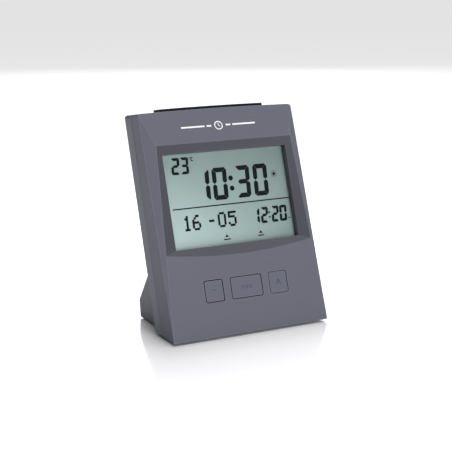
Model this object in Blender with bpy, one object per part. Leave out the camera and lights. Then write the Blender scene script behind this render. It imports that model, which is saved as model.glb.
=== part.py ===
"""A small desk clock with a liquid-crystal display, three keys and a press bar on top.

The front leans back on a wedge-shaped foot that holds two AA cells.  Two plastic shells meet at
a seam, and hold the display stack, the circuit board, the speaker and the battery contacts.
Every size is in millimetres, and MM turns it into Blender's metres.

Three frames are used.  The world frame has its origin on the table under the middle of the clock,
with the front facing -Y.  The face frame leans back with the front: X is across, Y is the depth
behind the front face and Z runs up the face.  The bay frame lies on the sloping rear of the foot:
X is across, Y points out of the battery cover and Z runs up the slope.
"""

import math

import bmesh
import bpy
from mathutils import Matrix, Vector

MM = 0.001
GAP = 0.3

# Whole clock
LEAN = math.radians(17.55)
HALF_WIDTH = 50.0
FACE_HEIGHT = 130.5
TOP_CROWN = 0.6
TOP_RISE = 0.16
FRONT_LIFT = 1.5
FRONT_TO_ORIGIN = 31.7
WALL = 2.0
CORNER_RADIUS = 2.0
EDGE_BEVEL = 0.5

# Shells, as depths behind the front face
SEAM_FRONT = 14.4
SEAM_REAR = 14.9
BACK_DEPTH = 24.2
BAND_START = 111.0
BAND_DEPTH = 4.7
FACET_HALF = 43.6

# Display opening
VIEW_HALF = 40.1
VIEW_LOW = 51.2
VIEW_HIGH = 105.8
SLOPE_DEPTH = 1.4
RIM_BACK = 4.9
ARC_LOW = 45.0
ARC_ENDS = 48.8

# Keys: centre and width across the face, all on one row
KEYS = {"key_minus": (-20.9, 11.5), "key_set": (0.0, 19.9), "key_plus": (20.9, 11.5)}
KEY_HEIGHT = 12.3
KEY_ROW = 25.8
KEY_GAP = 0.35
KEY_TRAVEL = 0.9

# Press bar
BAR_HALF = 33.5
BAR_FRONT = 9.6
BAR_BACK = 19.4
BAR_PROUD = 1.6
BAR_TRAVEL = 1.2
BAR_RIB = 5.2

# Foot, as depth and height over the table measured from the front bottom edge
FOOT_HALF = 44.0
FOOT_BASE = 0.6
FOOT_HEEL = (60.2, 0.6)
FOOT_KNEE = (61.9, 11.1)
FOOT_SHOULDER = (38.5, 43.1)

# Battery bay, in the bay frame
CELL_RADIUS = 7.1
CELL_LENGTH = 50.1
CELL_ROWS = {"battery_lower": 11.7, "battery_upper": 27.3}
CELL_DEPTH = -10.0
BAY_HALF = 29.5
BAY_LOW = 3.9
BAY_HIGH = 35.1
BAY_FLOOR = -17.5
COVER_HALF = 32.0
COVER_LOW = 2.5
COVER_HIGH = 36.7
COVER_THICK = 1.8
COVER_RIBS = (-14.0, 14.0)
GRIP_HALF = 9.0
SPRING_TURNS = 4
SPRING_RADII = (4.6, 2.4)
SPRING_WIRE = 0.35

# Boards and fasteners
BOARD_FRONT = 12.0
BOARD_BACK = 13.6
BOSS_SPOTS = [(-45.3, 60.0), (45.3, 60.0), (-45.3, 119.0), (45.3, 119.0)]
POST_SPOTS = [(-36.0, 44.2), (36.0, 44.2), (-36.0, 111.0), (36.0, 111.0)]
FRONT_BOSS_RADIUS = 2.9
REAR_BOSS_RADIUS = 3.3
POST_RADIUS = 2.2
SHELL_PILOT = 1.1
POST_PILOT = 0.9
SCREW_BORE = 1.4
SCREW_COUNTERBORE = 2.35
SWITCH_HEIGHT = 5.0
BAR_BOARD_TOP = FACE_HEIGHT - BAR_RIB - BAR_TRAVEL - 0.2 - SWITCH_HEIGHT - GAP
SPEAKER_HEIGHT = 92.0
RESET_SPOT = (26.0, 66.0)
RESET_BORE = 1.9
GRILLE_HOLE = 1.1
GRILLE_RINGS = ((0.0, 1), (4.6, 6), (9.2, 12), (13.4, 18))
SCREW_SEAT = BACK_DEPTH - 4.5
FRONT_PADS = [-38.0, 38.0]
FRONT_PAD_DEPTH = 8.0
REAR_PADS = [-34.0, 34.0]
REAR_PAD_DEPTH = 52.0
PAD_RADIUS = 4.0
PAD_SINK = 0.6


# ---------------------------------------------------------------- building tools

def clear_scene():
    for old in list(bpy.data.objects):
        bpy.data.objects.remove(old, do_unlink=True)


def plastic(name, color, roughness, metallic=0.0):
    mat = bpy.data.materials.new(name)
    mat.use_nodes = True
    shader = mat.node_tree.nodes["Principled BSDF"]
    shader.inputs["Base Color"].default_value = (*color, 1.0)
    shader.inputs["Roughness"].default_value = roughness
    shader.inputs["Metallic"].default_value = metallic
    return mat


def frame_empty(name, place, turn):
    empty = bpy.data.objects.new(name, None)
    empty.location = Vector(place) * MM
    empty.rotation_euler = (turn, 0.0, 0.0)
    bpy.context.collection.objects.link(empty)
    return empty


def add_object(name, bm, parent, mat=None, smooth=None):
    """A bmesh becomes a named object in its parent's frame; without a material it is a cutter."""
    bmesh.ops.recalc_face_normals(bm, faces=bm.faces)
    mesh = bpy.data.meshes.new(name)
    bm.to_mesh(mesh)
    bm.free()
    obj = bpy.data.objects.new(name, mesh)
    obj.parent = parent
    bpy.context.collection.objects.link(obj)
    if mat is None:
        obj.hide_render = True
        obj.display_type = "WIRE"
    else:
        mesh.materials.append(mat)
    if smooth is not None:
        mesh.shade_smooth()
        mesh.set_sharp_from_angle(angle=math.radians(smooth))
    return obj


def boolean(obj, tool, operation):
    mod = obj.modifiers.new(f"{operation.lower()} {tool.name}", "BOOLEAN")
    mod.operation = operation
    mod.object = tool
    mod.solver = "EXACT"


def add_block(bm, low, high):
    """A box between two corners."""
    low = Vector(low) * MM
    high = Vector(high) * MM
    place = Matrix.Translation((low + high) / 2) @ Matrix.Diagonal((*(high - low), 1.0))
    bmesh.ops.create_cube(bm, size=1.0, matrix=place)


def add_rod(bm, start, end, radius, sides=16):
    """A round bar between two points."""
    start = Vector(start) * MM
    end = Vector(end) * MM
    turn = (end - start).to_track_quat("Z", "Y").to_matrix().to_4x4()
    place = Matrix.Translation((start + end) / 2) @ turn
    bmesh.ops.create_cone(bm, cap_ends=True, segments=sides, radius1=radius * MM, radius2=radius * MM,
                          depth=(end - start).length, matrix=place)


def add_outline(bm, points, shift):
    """A flat outline of 3-D points drawn out into a solid by a shift."""
    face = bm.faces.new([bm.verts.new(Vector(p) * MM) for p in points])
    out = bmesh.ops.extrude_face_region(bm, geom=[face])
    moved = [v for v in out["geom"] if isinstance(v, bmesh.types.BMVert)]
    bmesh.ops.translate(bm, verts=moved, vec=Vector(shift) * MM)


def rounded_outline(centre, width, height, radius, depth, steps=4):
    """Corners of a rounded rectangle in the face plane, at one depth."""
    points = []
    for k in range(4):
        turn = math.pi / 2 * k
        side_x = (1, -1, -1, 1)[k]
        side_z = (1, 1, -1, -1)[k]
        cx = centre[0] + side_x * (width / 2 - radius)
        cz = centre[1] + side_z * (height / 2 - radius)
        for i in range(steps + 1):
            a = turn + math.pi / 2 * i / steps
            points.append((cx + radius * math.cos(a), depth, cz + radius * math.sin(a)))
    return points


def add_turned(bm, profile, centre, axis, sides=24):
    """A turned solid: the profile is a list of (distance along the axis, radius)."""
    axis = Vector(axis).normalized()
    across = axis.orthogonal().normalized()
    centre = Vector(centre) * MM
    verts = [bm.verts.new(centre + axis * a * MM + across * r * MM) for a, r in profile]
    edges = [bm.edges.new(pair) for pair in zip(verts, verts[1:])]
    bmesh.ops.spin(bm, geom=verts + edges, cent=centre, axis=axis, dvec=(0, 0, 0),
                   angle=2 * math.pi, steps=sides, use_merge=True, use_duplicate=False)
    bmesh.ops.remove_doubles(bm, verts=bm.verts, dist=1e-7)


def smooth_route(points, per_span=6):
    """Points of a smooth curve that passes through the given ones."""
    pts = [Vector(p) for p in points]
    pts = [2 * pts[0] - pts[1]] + pts + [2 * pts[-1] - pts[-2]]
    route = []
    for i in range(1, len(pts) - 2):
        a, b, c, d = pts[i - 1:i + 3]
        for k in range(per_span):
            t = k / per_span
            route.append(0.5 * (2 * b + (c - a) * t + (2 * a - 5 * b + 4 * c - d) * t * t
                                + (3 * b - a - 3 * c + d) * t ** 3))
    route.append(pts[-2])
    return route


def add_tube(name, route, radius, parent, mat, resolution=2):
    """A wire or a coil: a round tube along a route of points."""
    curve = bpy.data.curves.new(name, "CURVE")
    curve.dimensions = "3D"
    curve.bevel_depth = radius * MM
    curve.bevel_resolution = resolution
    curve.use_fill_caps = True
    spline = curve.splines.new("POLY")
    spline.points.add(len(route) - 1)
    for point, place in zip(spline.points, route):
        point.co = (*(Vector(place) * MM), 1.0)
    obj = bpy.data.objects.new(name, curve)
    obj.parent = parent
    curve.materials.append(mat)
    bpy.context.collection.objects.link(obj)
    return obj


# ---------------------------------------------------------------- frames and finishes

clear_scene()

FACE = frame_empty("face_frame", (0, -FRONT_TO_ORIGIN, FRONT_LIFT), -LEAN)
TABLE = frame_empty("table_frame", (0, -FRONT_TO_ORIGIN, 0), 0.0)
SLOPE_ANGLE = math.atan2(FOOT_KNEE[0] - FOOT_SHOULDER[0], FOOT_SHOULDER[1] - FOOT_KNEE[1])
BAY = frame_empty("bay_frame", (0, FOOT_KNEE[0] - FRONT_TO_ORIGIN, FOOT_KNEE[1]), SLOPE_ANGLE)

GREY = plastic("satin grey plastic", (0.145, 0.140, 0.170), 0.45)
KEY_GREY = plastic("key grey plastic", (0.150, 0.145, 0.175), 0.45)
BLACK = plastic("black plastic", (0.010, 0.010, 0.012), 0.4)
CLEAR = plastic("clear plastic", (0.80, 0.85, 0.84), 0.08)
LCD_GREEN = plastic("display glass", (0.34, 0.45, 0.41), 0.2)
WHITE = plastic("white plastic", (0.80, 0.80, 0.78), 0.4)
DARK_RUBBER = plastic("dark rubber", (0.030, 0.030, 0.032), 0.8)
BOARD_GREEN = plastic("circuit board", (0.03, 0.16, 0.07), 0.45)
STEEL = plastic("plated steel", (0.66, 0.66, 0.64), 0.3, 1.0)
PAPER = plastic("speaker paper", (0.05, 0.05, 0.05), 0.9)
CELL_WRAP = plastic("cell wrapper", (0.06, 0.09, 0.16), 0.35)
RED = plastic("red wire", (0.55, 0.03, 0.02), 0.45)
WIRE_BLACK = plastic("black wire", (0.015, 0.015, 0.015), 0.45)


# ---------------------------------------------------------------- shells

def bottom_at(depth, over=0.0):
    """How far up the face the level bottom of the clock is, at a depth, plus a wall."""
    return depth * math.tan(LEAN) + over / math.cos(LEAN)


def crown_at(x):
    return TOP_CROWN * (1.0 - (x / HALF_WIDTH) ** 2)


def slope_top(bm, above):
    """Everything above a height on the face rises with the sloping top, towards the back."""
    for v in bm.verts:
        if v.co.z > above * MM:
            v.co.z += TOP_RISE * max(0.0, v.co.y - BAND_DEPTH * MM)


def shell_solid(front, back, half, top, floor, banded, corner):
    """One shell's solid: a side profile drawn across, with rounded top corners and a low crown."""
    bm = bmesh.new()
    profile = [(-half, back, bottom_at(back, floor)), (-half, back, top)]
    if banded:
        rise = (top - BAND_START) / (FACE_HEIGHT - BAND_START)
        profile += [(-half, front + BAND_DEPTH * rise, top), (-half, front, BAND_START)]
    else:
        profile += [(-half, front, top)]
    profile += [(-half, front, bottom_at(front, floor))]
    add_outline(bm, profile, (2 * half, 0, 0))
    bm.normal_update()
    corners = [e for e in bm.edges
               if all(abs(v.co.z - top * MM) < 1e-7 for v in e.verts)
               and abs(e.verts[0].co.x - e.verts[1].co.x) < 1e-7]
    bmesh.ops.bevel(bm, geom=corners, offset=corner * MM, segments=3, profile=0.5,
                    affect="EDGES", material=-1)
    for k in range(-5, 5):
        at = (k + 0.5) * 0.2 * half
        bmesh.ops.bisect_plane(bm, geom=bm.verts[:] + bm.edges[:] + bm.faces[:],
                               plane_co=(at * MM, 0, 0), plane_no=(1, 0, 0), dist=1e-7)
    for v in bm.verts:
        if v.co.z > (top - corner - 0.01) * MM:
            v.co.z += crown_at(v.co.x / MM) * MM
    slope_top(bm, top - corner - 0.01)
    return bm


def cut_facets(bm, inset):
    """Plane off both front side edges, from the band's top corners down to the bottom corners."""
    for side in (-1, 1):
        low = Vector((side * HALF_WIDTH, 0, 0))
        top = Vector((side * HALF_WIDTH, BAND_DEPTH, FACE_HEIGHT))
        inner = Vector((side * FACET_HALF, 0, BAND_START))
        normal = (top - low).cross(inner - low).normalized()
        if normal.y > 0:
            normal = -normal
        at = low - normal * inset
        out = bmesh.ops.bisect_plane(bm, geom=bm.verts[:] + bm.edges[:] + bm.faces[:],
                                     plane_co=at * MM, plane_no=normal, clear_outer=True, dist=1e-7)
        rim = [e for e in out["geom_cut"] if isinstance(e, bmesh.types.BMEdge)]
        bmesh.ops.edgeloop_fill(bm, edges=rim)


def soften(obj, width, angle=25.0):
    mod = obj.modifiers.new("soft edges", "BEVEL")
    mod.width = width * MM
    mod.segments = 2
    mod.limit_method = "ANGLE"
    mod.angle_limit = math.radians(angle)
    mod.use_clamp_overlap = True


def recess_cutter():
    """The display recess: a shallow sloping surround with a bowed lower edge, then a straight well."""
    sag = ARC_ENDS - ARC_LOW
    low_half = HALF_WIDTH - (HALF_WIDTH - FACET_HALF) * ARC_ENDS / BAND_START - 0.05
    radius = (low_half ** 2 + sag ** 2) / (2 * sag)
    outline = [(-FACET_HALF + 0.05, BAND_START - 0.2), (FACET_HALF - 0.05, BAND_START - 0.2)]
    steps = 14
    for k in range(steps + 1):
        x = low_half * (1 - 2 * k / steps)
        outline.append((x, ARC_LOW + radius - math.sqrt(radius ** 2 - x ** 2)))
    bm = bmesh.new()
    for x, z in outline:
        bm.verts.new(Vector((x, 0, z)) * MM)
    for x in (-VIEW_HALF, VIEW_HALF):
        for z in (VIEW_LOW, VIEW_HIGH):
            bm.verts.new(Vector((x, SLOPE_DEPTH, z)) * MM)
    bmesh.ops.convex_hull(bm, input=bm.verts)
    return add_object("recess_cutter", bm, FACE)


def seam_lip(shell):
    """A thin wall that stands out of the front shell and stops light at the seam."""
    inside = FACE_HEIGHT - WALL
    root = shell_solid(SEAM_FRONT - 2.4, SEAM_FRONT, HALF_WIDTH - WALL + 0.5, inside + 0.5, WALL - 0.5,
                       False, 1.0)
    boolean(shell, add_object("lip_root", root, FACE), "UNION")
    tongue = shell_solid(SEAM_FRONT - 0.4, SEAM_REAR + 1.5, HALF_WIDTH - WALL - GAP, inside - GAP,
                         WALL + GAP, False, 1.0)
    boolean(shell, add_object("lip_tongue", tongue, FACE), "UNION")
    inner = shell_solid(SEAM_FRONT - 4, SEAM_REAR + 3, HALF_WIDTH - WALL - 1.5, inside - 1.5, WALL + 1.5,
                        False, 1.0)
    boolean(shell, add_object("lip_inside", inner, FACE), "DIFFERENCE")
    clear = bmesh.new()
    add_block(clear, (-BAR_HALF - 3, SEAM_FRONT - 3, FACE_HEIGHT - 6), (BAR_HALF + 3, SEAM_REAR + 3, inside))
    slope_top(clear, inside - 0.1)
    for x, z in BOSS_SPOTS:
        add_rod(clear, (x, SEAM_FRONT + 0.05, z), (x, SEAM_REAR + 3, z), 3.7)
    boolean(shell, add_object("lip_clearances", clear, FACE), "DIFFERENCE")


def make_front_housing():
    outer = shell_solid(0.0, SEAM_FRONT, HALF_WIDTH, FACE_HEIGHT, 0.0, True, CORNER_RADIUS)
    cut_facets(outer, 0.0)
    shell = add_object("front_housing", outer, FACE, GREY, smooth=9)
    soften(shell, EDGE_BEVEL)

    inner = shell_solid(WALL, SEAM_FRONT + 3, HALF_WIDTH - WALL, FACE_HEIGHT - WALL, WALL, True, 1.0)
    cut_facets(inner, WALL)
    boolean(shell, add_object("front_cavity", inner, FACE), "DIFFERENCE")
    seam_lip(shell)

    ribs = bmesh.new()
    add_block(ribs, (-VIEW_HALF - 2, 1.2, VIEW_LOW - 2), (VIEW_HALF + 2, RIM_BACK, VIEW_HIGH + 2))
    boolean(shell, add_object("window_rim", ribs, FACE), "UNION")

    posts = bmesh.new()
    for x, z in BOSS_SPOTS:
        add_rod(posts, (x, 4.5, z), (x, SEAM_FRONT, z), FRONT_BOSS_RADIUS)
    for x, z in POST_SPOTS:
        add_rod(posts, (x, 1.6, z), (x, BOARD_FRONT - GAP, z), POST_RADIUS)
    boolean(shell, add_object("front_posts", posts, FACE), "UNION")

    boolean(shell, recess_cutter(), "DIFFERENCE")

    holes = bmesh.new()
    add_block(holes, (-VIEW_HALF, SLOPE_DEPTH - 0.6, VIEW_LOW), (VIEW_HALF, 6, VIEW_HIGH))
    for x, width in KEYS.values():
        add_outline(holes, rounded_outline((x, KEY_ROW), width + 2 * KEY_GAP,
                                           KEY_HEIGHT + 2 * KEY_GAP, 1.3, -2.0), (0, 6, 0))
    for x, z in BOSS_SPOTS:
        add_rod(holes, (x, 6.0, z), (x, SEAM_FRONT + 2, z), SHELL_PILOT, sides=10)
    for x, z in POST_SPOTS:
        add_rod(holes, (x, 5.0, z), (x, BOARD_FRONT + 2, z), POST_PILOT, sides=10)
    slot = BAR_HALF + KEY_GAP
    add_block(holes, (-slot, BAR_FRONT - KEY_GAP, FACE_HEIGHT - 4), (slot, SEAM_FRONT + 2, FACE_HEIGHT + 6))
    boolean(shell, add_object("front_holes", holes, FACE), "DIFFERENCE")

    pads = bmesh.new()
    for x in FRONT_PADS:
        add_rod(pads, (x, FRONT_PAD_DEPTH, FRONT_LIFT - 2), (x, FRONT_PAD_DEPTH, FRONT_LIFT + PAD_SINK + GAP),
                PAD_RADIUS + GAP, sides=20)
    boolean(shell, add_object("front_pad_seats", pads, TABLE), "DIFFERENCE")


def foot_outline(half, inset):
    """The foot's side view.  The inset one runs on into the shell, so that both hollows join."""
    if inset:
        points = [(21.0, 5.0), (27.0, 2.4), (58.5, 2.4), (59.9, 10.7), (37.3, 41.8), (33.0, 40.5)]
    else:
        points = [(24.0, 3.0), (25.4, FOOT_BASE), FOOT_HEEL, FOOT_KNEE, FOOT_SHOULDER, (34.0, 40.0)]
    return [(-half, y, z) for y, z in points]


def make_rear_housing():
    outer = shell_solid(SEAM_REAR, BACK_DEPTH, HALF_WIDTH, FACE_HEIGHT, 0.0, False, CORNER_RADIUS)
    shell = add_object("rear_housing", outer, FACE, GREY, smooth=9)
    soften(shell, EDGE_BEVEL)

    foot = bmesh.new()
    add_outline(foot, foot_outline(FOOT_HALF, False), (2 * FOOT_HALF, 0, 0))
    foot_tool = add_object("foot_solid", foot, TABLE)
    soften(foot_tool, 0.8)
    boolean(shell, foot_tool, "UNION")

    inner = shell_solid(SEAM_REAR - 3, BACK_DEPTH - WALL, HALF_WIDTH - WALL, FACE_HEIGHT - WALL, WALL,
                        False, 1.0)
    boolean(shell, add_object("rear_cavity", inner, FACE), "DIFFERENCE")
    foot_half = FOOT_HALF - WALL
    hollow = bmesh.new()
    add_outline(hollow, foot_outline(foot_half, True), (2 * foot_half, 0, 0))
    boolean(shell, add_object("foot_hollow", hollow, TABLE), "DIFFERENCE")

    lip = bmesh.new()
    add_block(lip, (-COVER_HALF - 2.3, -4.1, COVER_LOW - 1.9), (COVER_HALF + 2.3, -0.5, COVER_HIGH + 1.9))
    boolean(shell, add_object("cover_lip", lip, BAY), "UNION")
    tray = bmesh.new()
    add_block(tray, (-BAY_HALF - 1.5, BAY_FLOOR - 1.2, BAY_LOW - 1.3), (BAY_HALF + 1.5, -3, BAY_HIGH + 1.3))
    boolean(shell, add_object("battery_tray", tray, BAY), "UNION")

    posts = bmesh.new()
    for x, z in BOSS_SPOTS:
        add_rod(posts, (x, SEAM_REAR, z), (x, BACK_DEPTH - 1, z), REAR_BOSS_RADIUS)
    boolean(shell, add_object("rear_bosses", posts, FACE), "UNION")
    ring = bmesh.new()
    add_turned(ring, [(19.0, 16.2), (23.0, 16.2), (23.0, 17.4), (19.0, 17.4), (19.0, 16.2)],
               (0, 0, SPEAKER_HEIGHT), (0, 1, 0), sides=32)
    boolean(shell, add_object("speaker_seat", ring, FACE), "UNION")

    bay = bmesh.new()
    add_block(bay, (-COVER_HALF - GAP, -COVER_THICK - GAP, COVER_LOW - GAP),
              (COVER_HALF + GAP, 2, COVER_HIGH + GAP))
    boolean(shell, add_object("cover_recess", bay, BAY), "DIFFERENCE")
    well = bmesh.new()
    add_block(well, (-BAY_HALF, BAY_FLOOR, BAY_LOW), (BAY_HALF, 0, BAY_HIGH))
    boolean(shell, add_object("battery_well", well, BAY), "DIFFERENCE")
    slits = bmesh.new()
    for z in CELL_ROWS.values():
        add_block(slits, (-BAY_HALF + 0.1, BAY_FLOOR - 3, z - 2.3), (-BAY_HALF + 1.4, BAY_FLOOR + 1, z + 2.3))
    boolean(shell, add_object("tab_slits", slits, BAY), "DIFFERENCE")

    holes = bmesh.new()
    for ring_radius, count in GRILLE_RINGS:
        for k in range(count):
            a = 2 * math.pi * k / count
            x = ring_radius * math.cos(a)
            z = SPEAKER_HEIGHT + ring_radius * math.sin(a)
            add_rod(holes, (x, BACK_DEPTH - 3, z), (x, BACK_DEPTH + 1, z), GRILLE_HOLE, sides=8)
    for x, z in BOSS_SPOTS:
        add_turned(holes, [(SEAM_REAR - 1, 0.0), (SEAM_REAR - 1, SCREW_BORE), (SCREW_SEAT, SCREW_BORE),
                           (SCREW_SEAT, SCREW_COUNTERBORE), (BACK_DEPTH + 2, SCREW_COUNTERBORE),
                           (BACK_DEPTH + 2, 0.0)], (x, 0, z), (0, 1, 0), sides=14)
    x, z = RESET_SPOT
    add_rod(holes, (x, BACK_DEPTH - 3, z), (x, BACK_DEPTH + 1, z), RESET_BORE)
    slot = BAR_HALF + KEY_GAP
    add_block(holes, (-slot, SEAM_REAR - 2, FACE_HEIGHT - 4), (slot, BAR_BACK + KEY_GAP, FACE_HEIGHT + 6))
    boolean(shell, add_object("rear_holes", holes, FACE), "DIFFERENCE")

    pads = bmesh.new()
    for x in REAR_PADS:
        add_rod(pads, (x, REAR_PAD_DEPTH, FOOT_BASE - 2), (x, REAR_PAD_DEPTH, FOOT_BASE + PAD_SINK + GAP),
                PAD_RADIUS + GAP, sides=20)
    boolean(shell, add_object("rear_pad_seats", pads, TABLE), "DIFFERENCE")


# ---------------------------------------------------------------- display and boards

def block_node(name, low, high, mat, parent=None):
    bm = bmesh.new()
    add_block(bm, low, high)
    return add_object(name, bm, parent or FACE, mat)


def frame_node(name, outer_half, inner_half, outer_z, inner_z, depths, mat):
    """A flat rectangular frame: a block with a window through it."""
    bm = bmesh.new()
    add_block(bm, (-outer_half, depths[0], outer_z[0]), (outer_half, depths[1], outer_z[1]))
    obj = add_object(name, bm, FACE, mat)
    hole = bmesh.new()
    add_block(hole, (-inner_half, depths[0] - 1, inner_z[0]), (inner_half, depths[1] + 1, inner_z[1]))
    boolean(obj, add_object(f"{name}_opening", hole, FACE), "DIFFERENCE")
    return obj


def make_display():
    """From the front: tape, window, display cell, diffuser, light guide, holder and contact strip."""
    low = VIEW_LOW
    high = VIEW_HIGH
    window_front = RIM_BACK + 0.7
    frame_node("window_tape", 41.6, 40.4, (low - 1.7, high + 1.7), (low - 0.3, high + 0.3),
               (RIM_BACK + 0.15, window_front - 0.15), DARK_RUBBER)
    block_node("lcd_window", (-41.6, window_front, low - 1.7), (41.6, window_front + 1.2, high + 1.7), CLEAR)
    block_node("lcd_panel", (-41.0, 7.1, low - 3.6), (41.0, 8.9, high + 1.4), LCD_GREEN)
    block_node("diffuser_sheet", (-40.2, 9.2, low - 0.6), (40.2, 9.5, high + 0.4), WHITE)
    block_node("light_guide", (-40.2, 9.8, low + 1.8), (40.2, 11.4, high + 0.4), CLEAR)
    frame_node("lcd_holder", 41.4, 40.5, (low - 1.5, high + 1.9), (low - 0.9, high + 0.7),
               (9.2, BOARD_FRONT - GAP), WHITE)
    for side, x in (("left", -20), ("right", 20)):
        block_node(f"backlight_lamp_{side}", (x - 1.6, 9.8, low - 0.5), (x + 1.6, 11.5, low + 1.4), WHITE)
    block_node("contact_strip", (-37, 9.2, low - 3.5), (37, BOARD_FRONT - GAP, low - 1.9), DARK_RUBBER)


def make_boards():
    board = bmesh.new()
    add_block(board, (-40.6, BOARD_FRONT, 17), (40.6, BOARD_BACK, 114.5))
    main = add_object("main_board", board, FACE, BOARD_GREEN)
    holes = bmesh.new()
    for x, z in POST_SPOTS:
        add_rod(holes, (x, BOARD_FRONT - 1, z), (x, BOARD_BACK + 1, z), 1.3, sides=12)
    boolean(main, add_object("board_holes", holes, FACE), "DIFFERENCE")

    for number, (x, z) in enumerate(POST_SPOTS, 1):
        screw = bmesh.new()
        add_turned(screw, [(BOARD_FRONT - 5.5, 0.0), (BOARD_FRONT - 5.0, 0.6), (BOARD_BACK + GAP, 0.6),
                           (BOARD_BACK + GAP, 2.2), (BOARD_BACK + 1.0, 2.0), (BOARD_BACK + 1.5, 1.2),
                           (BOARD_BACK + 1.6, 0.0)], (x, 0, z), (0, 1, 0), sides=12)
        add_object(f"board_screw_{number}", screw, FACE, STEEL, smooth=40)

    back = BOARD_BACK + GAP
    blob = bmesh.new()
    add_turned(blob, [(back, 0.0), (back, 7.5), (back + 0.6, 7.0), (back + 1.3, 5.0), (back + 1.7, 2.5),
                      (back + 1.8, 0.0)], (-14, 0, 60), (0, 1, 0), sides=20)
    add_object("chip_cover", blob, FACE, BLACK, smooth=50)
    for side, x in (("left", 12), ("right", 20)):
        can = bmesh.new()
        add_rod(can, (x, back, 54), (x, back + 5.6, 54), 2.5, sides=16)
        add_object(f"capacitor_{side}", can, FACE, WIRE_BLACK, smooth=40)
    crystal = bmesh.new()
    add_rod(crystal, (-2, back + 1.2, 52), (4, back + 1.2, 52), 1.0, sides=12)
    add_object("quartz_crystal", crystal, FACE, STEEL, smooth=40)
    bead = bmesh.new()
    add_turned(bead, [(back, 0.0), (back, 0.5), (back + 2.6, 0.5), (back + 2.9, 1.1), (back + 4.0, 1.3),
                      (back + 4.8, 0.8), (back + 4.9, 0.0)], (-33, 0, 52), (0, 1, 0), sides=10)
    add_object("temperature_sensor", bead, FACE, WIRE_BLACK, smooth=40)


def push_switch(name, foot, direction, height):
    """A square switch standing on a board at its foot, with a round plunger; one solid."""
    foot = Vector(foot)
    up = Vector(direction)
    across = Vector((3, 3, 3)) - Vector([abs(c) * 3 for c in up])
    ends = (foot - across, foot + across + up * (height - 1.5))
    bm = bmesh.new()
    add_block(bm, [min(pair) for pair in zip(*ends)], [max(pair) for pair in zip(*ends)])
    switch = add_object(name, bm, FACE, BLACK)
    plunger = bmesh.new()
    add_rod(plunger, foot + up * (height - 2.5), foot + up * height, 1.7, sides=14)
    boolean(switch, add_object(f"{name}_plunger", plunger, FACE), "UNION")


# ---------------------------------------------------------------- moving pieces

def make_keys():
    """Key caps flush with the face; each has a flange behind the wall and a stem for its switch."""
    for name, (x, width) in KEYS.items():
        bm = bmesh.new()
        add_outline(bm, rounded_outline((x, KEY_ROW), width, KEY_HEIGHT, 1.0, 0.0), (0, 2.9, 0))
        cap = add_object(name, bm, FACE, KEY_GREY, smooth=30)
        soften(cap, 0.25, 40)
        back = bmesh.new()
        add_block(back, (x - width / 2 - 1.4, WALL + GAP, KEY_ROW - KEY_HEIGHT / 2 - 1.4),
                  (x + width / 2 + 1.4, WALL + GAP + 1.0, KEY_ROW + KEY_HEIGHT / 2 + 1.4))
        boolean(cap, add_object(f"{name}_flange", back, FACE), "UNION")
        stem_end = BOARD_FRONT - GAP - SWITCH_HEIGHT - KEY_TRAVEL - 0.2
        stem = bmesh.new()
        add_rod(stem, (x, WALL + 0.8, KEY_ROW), (x, stem_end, KEY_ROW), 1.8)
        boolean(cap, add_object(f"{name}_stem", stem, FACE), "UNION")

        push_switch(f"{name}_switch", (x, BOARD_FRONT - GAP, KEY_ROW), (0, -1, 0), SWITCH_HEIGHT)


def make_top_bar():
    """A long bar in a slot across the seam, with a flange under the shells and a rib on its switch."""
    bm = bmesh.new()
    add_outline(bm, [(x, BAR_FRONT, FACE_HEIGHT + BAR_PROUD + crown_at(x)) for x in
                     [BAR_HALF * (k / 6 - 1) for k in range(13)]]
                + [(BAR_HALF, BAR_FRONT, FACE_HEIGHT - 3.4), (-BAR_HALF, BAR_FRONT, FACE_HEIGHT - 3.4)],
                (0, BAR_BACK - BAR_FRONT, 0))
    slope_top(bm, FACE_HEIGHT - 4)
    bar = add_object("top_bar", bm, FACE, BLACK, smooth=25)
    soften(bar, 0.5, 40)
    under = bmesh.new()
    add_block(under, (-BAR_HALF - 2, BAR_FRONT - 1.6, FACE_HEIGHT - WALL - 1.5),
              (BAR_HALF + 2, BAR_BACK + 1.6, FACE_HEIGHT - WALL - GAP))
    slope_top(under, FACE_HEIGHT - 4)
    boolean(bar, add_object("bar_flange", under, FACE), "UNION")
    rib = bmesh.new()
    add_block(rib, (-2.5, 15.8, FACE_HEIGHT - BAR_RIB), (2.5, 19.2, FACE_HEIGHT - 0.5))
    boolean(bar, add_object("bar_rib", rib, FACE), "UNION")

    push_switch("bar_switch", (0, 17.8, BAR_BOARD_TOP + GAP), (0, 0, 1), SWITCH_HEIGHT)
    block_node("bar_board", (-12, 14.6, BAR_BOARD_TOP - 1.2), (12, 21.6, BAR_BOARD_TOP), BOARD_GREEN)


def make_reset_key():
    x, z = RESET_SPOT
    bm = bmesh.new()
    add_turned(bm, [(18.2, 0.0), (18.2, 1.0), (20.4, 1.0), (20.4, 2.8), (BACK_DEPTH - WALL - GAP, 2.8),
                    (BACK_DEPTH - WALL - GAP, 1.6), (BACK_DEPTH - 0.6, 1.6), (BACK_DEPTH - 0.4, 1.3),
                    (BACK_DEPTH - 0.4, 0.0)], (x, 0, z), (0, 1, 0), sides=16)
    add_object("reset_key", bm, FACE, DARK_RUBBER, smooth=40)
    base = bmesh.new()
    back = BOARD_BACK + GAP
    add_block(base, (x - 2.5, back, z - 2.5), (x + 2.5, back + 2.4, z + 2.5))
    add_object("reset_switch", base, FACE, BLACK)


# ---------------------------------------------------------------- speaker and battery side

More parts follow.
